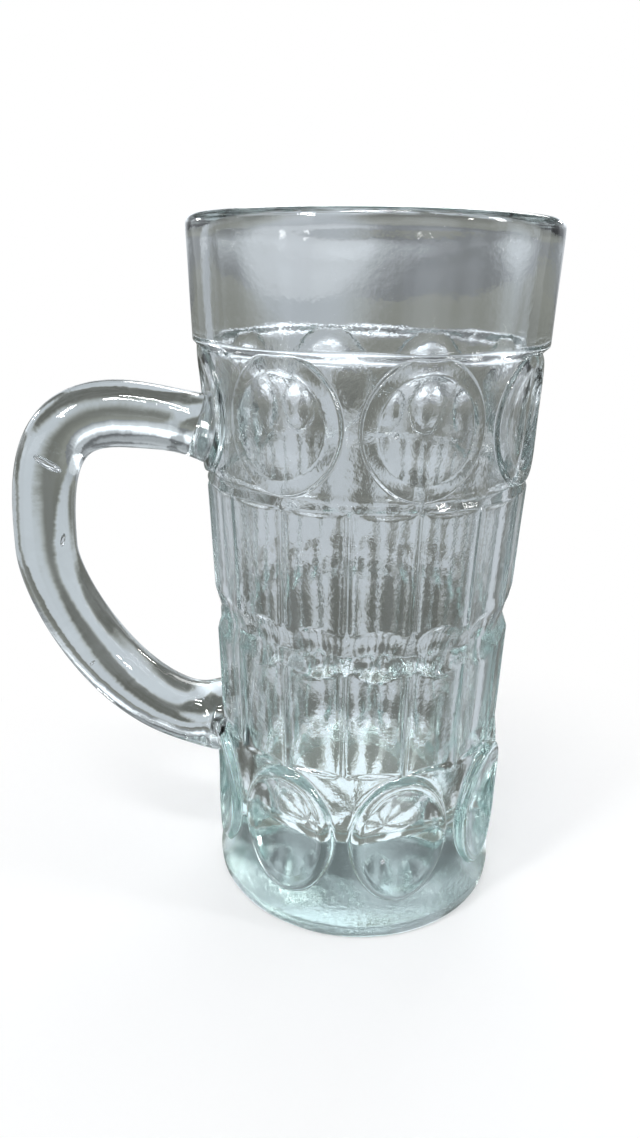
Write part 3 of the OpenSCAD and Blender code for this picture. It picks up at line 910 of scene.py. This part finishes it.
def floor_material():
    """A pale matt floor that fades into the white background away from the mug. In the glass it glows with
    floor_level (1 + contrast (2 pale - 1)): pale is what the cards show from the height eye_h, and the
    contrast falls with the distance. Close round the foot the glow is near_level times as strong."""
    made = bpy.data.materials.new("pale_floor")
    made.use_nodes = True
    tree = Tree(made.node_tree)
    matt = tree.nodes["Principled BSDF"]
    tree.feed(matt, {"Base Color": (0.9, 0.9, 0.9, 1), "Roughness": 0.9, "Specular IOR Level": 0.1})
    place = tree.node("TexCoord").outputs["Object"]
    away = tree.length(place)
    from_eye = tree.node("VectorMath", {0: place, 1: (0, 0, eye_h)}, operation="SUBTRACT").outputs["Vector"]
    pale = tree.node("Group", {"Vector": from_eye}, node_tree=studio_cards).outputs["Pale"]
    swing = tree.math("MULTIPLY", tree.math("SUBTRACT", pale, 0.5), 2.0)
    swing = tree.math("MULTIPLY", swing, tree.carry(away, contrast_ring, contrast_range))
    level = tree.math("MULTIPLY", tree.math("ADD", swing, 1.0), floor_level)
    level = tree.math("MULTIPLY", level, tree.carry(away, near_ring, (near_level, 1.0), smooth=True))
    glow = tree.node("Emission", {"Color": tree.mix(pale, dark_tone, pale_tone), "Strength": level})
    fade = tree.carry(away, fade_ring, (least_white, 1.0), smooth=True)
    camera_ray = tree.node("LightPath").outputs["Is Camera Ray"]
    plain = tree.node("MixShader", {0: tree.math("MULTIPLY", fade, camera_ray), 1: matt.outputs["BSDF"],
                                    2: tree.node("Emission").outputs["Emission"]})
    whole = tree.node("MixShader", {0: seen_in_glass(tree), 1: plain.outputs["Shader"],
                                    2: glow.outputs["Emission"]})
    tree.feed(tree.nodes["Material Output"], {"Surface": whole.outputs["Shader"]})
    return made


floor_mesh.materials.append(floor_material())
print("material:", floor_mesh.materials[0].name)

# %% [markdown]
# The walls are the world's background: the same cards, brighter or darker by height. The bright strip above
# the horizon draws the white lines at the back collar and along the edges of the ovals, and the dark one over
# it gives those lines their contrast.

# %% The studio around it
backdrop_in_glass = 0.03
cool = (0.94, 1.0, 1.06)
panel_range = (0.5, 1.55)
height_levels = [(0.0, 0.3), (0.45, 0.34), (0.5, 0.42), (0.53, 0.5), (0.55, 1.0), (0.62, 1.0),
                 (0.645, 0.22), (0.73, 0.26), (0.77, 0.36), (0.85, 0.38), (0.92, 0.55), (1.0, 0.5)]


def white_share(tree):
    """1 for what the camera sees itself, and a small share of 1 for what it sees in or through the glass."""
    in_glass = tree.math("MULTIPLY", seen_in_glass(tree), backdrop_in_glass)
    return tree.math("MAXIMUM", tree.node("LightPath").outputs["Is Camera Ray"], in_glass)


def studio_world():
    """The walls of the studio. The height of a direction, from 0 straight down to 1 straight up, picks a
    level from height_levels, and the cards multiply it."""
    world = bpy.data.worlds.new("studio")
    world.use_nodes = True
    tree = Tree(world.node_tree)
    towards = tree.node("TexCoord").outputs["Generated"]
    upwards = tree.math("ADD", tree.node("SeparateXYZ", {0: towards}).outputs["Z"], 1.0)
    by_height = tree.node("ValToRGB", {"Fac": tree.math("MULTIPLY", upwards, 0.5)})
    elements = by_height.color_ramp.elements
    # A new ramp has two elements, and the others are added to them
    for k, (position, level) in enumerate(height_levels):
        element = elements[k] if k < 2 else elements.new(position)
        element.position, element.color = position, tuple(level * c for c in cool) + (1,)
    pale = tree.node("Group", {"Vector": towards}, node_tree=studio_cards).outputs["Pale"]
    room = tree.node("VectorMath", {0: by_height.outputs["Color"],
                                    "Scale": tree.carry(pale, (0.0, 1.0), panel_range)}, operation="SCALE")
    seen = tree.mix(white_share(tree), room.outputs["Vector"], (1, 1, 1, 1))
    tree.feed(tree.nodes["Background"], {"Color": seen})
    return world


bpy.context.scene.world = studio_world()
print("world:", bpy.context.scene.world.name)

# %% [markdown]
# The lamps light the floor and give the glass its white glints. Most of them are small, because a lamp shows
# in polished glass as its own shape. The back lamp is large but isn't seen through the glass, and the glint
# lamps leave the floor as it is.

# %% Lamps
def soft_lamp(name, place, size, power, glint=False):
    """A flat lamp that faces the middle of the mug. A glint lamp only shows in the glass."""
    lamp = bpy.data.lights.new(name, "AREA")
    lamp.shape = "RECTANGLE"
    lamp.size, lamp.size_y = size
    lamp.energy = power
    made = bpy.data.objects.new(name, lamp)
    bpy.context.scene.collection.objects.link(made)
    made.location = place
    towards = Vector((0, 0, mug_h * MM / 2)) - made.location
    made.rotation_euler = towards.to_track_quat("-Z", "Y").to_euler()
    made.visible_diffuse, made.visible_camera = not glint, False
    return made


soft_lamp("key_lamp", (-0.7, -0.6, 0.8), (0.14, 0.4), 5.0)
soft_lamp("fill_lamp", (0.9, -0.35, 0.5), (0.12, 0.4), 3.0)
soft_lamp("top_lamp", (-0.15, -0.5, 1.0), (0.3, 0.1), 3.0)
back_lamp = soft_lamp("back_lamp", (0.2, 0.9, 0.7), (0.8, 0.3), 4.0)
back_lamp.visible_transmission = False
glints = [((-0.5, -0.55, 0.45), (0.05, 0.06), 0.7),
          ((0.55, -0.5, 0.35), (0.05, 0.06), 0.7),
          ((0.0, -0.25, 0.9), (0.3, 0.05), 3.0),
          ((-0.55, 0.5, 0.3), (0.05, 0.05), 0.6),
          ((0.5, 0.65, 0.35), (0.05, 0.05), 0.6)]
for k, (place, size, power) in enumerate(glints):
    soft_lamp(f"glint_lamp_{k}", place, size, power, glint=True)
print("lamps:", len(bpy.data.lights))

# %% [markdown]
# The camera stands close, a little above the lip, and looks down by 19 degrees. Its place was worked out from
# the ellipses of the lip, the collar and the foot. The mug stays where it is: the camera is turned round it.

# %% Camera
focal_px, frame_h_px = 865, 1138
camera_away, camera_h = 214.1, 159.2
pitch, yaw, roll = math.radians(18.93), math.radians(-2.96), math.radians(0.95)
mug_turn = math.radians(6.75)
optics = bpy.data.cameras.new("camera")
optics.sensor_width = 36
optics.lens = optics.sensor_width * focal_px / frame_h_px
optics.clip_start, optics.clip_end = 0.01, 20
camera = bpy.data.objects.new("camera", optics)
bpy.context.scene.collection.objects.link(camera)
ahead = np.array([math.sin(yaw) * math.cos(pitch), math.cos(yaw) * math.cos(pitch), -math.sin(pitch)])
right = np.array([math.cos(yaw), -math.sin(yaw), 0])
above = np.cross(right, ahead)
axes = np.stack([math.cos(roll) * right + math.sin(roll) * above,
                 math.cos(roll) * above - math.sin(roll) * right, -ahead], axis=1)
stand = Matrix(axes.tolist()).to_4x4()
stand.translation = (0, -camera_away * MM, camera_h * MM)
camera.matrix_world = Matrix.Rotation(-mug_turn, 4, "Z") @ stand
bpy.context.scene.camera = camera
print(f"focal length {optics.lens:.1f} mm")

# %% [markdown]
# Light crosses four surfaces of the body on most of its ways to the camera, and many more where it is
# reflected inside the glass. So the bounces are set high, or the glass would show black patches. Each piece
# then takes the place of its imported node.

# %% Finish
scene = bpy.context.scene
scene.view_settings.view_transform = "Standard"
scene.cycles.max_bounces = 28
scene.cycles.transmission_bounces = 28
scene.cycles.glossy_bounces = 10
for piece, node, slot in [(glass_body, "glass_body", "pressed_glass"),
                          (glass_handle, "handle", "handle_glass")]:
    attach(piece, "root")
    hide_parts(node)
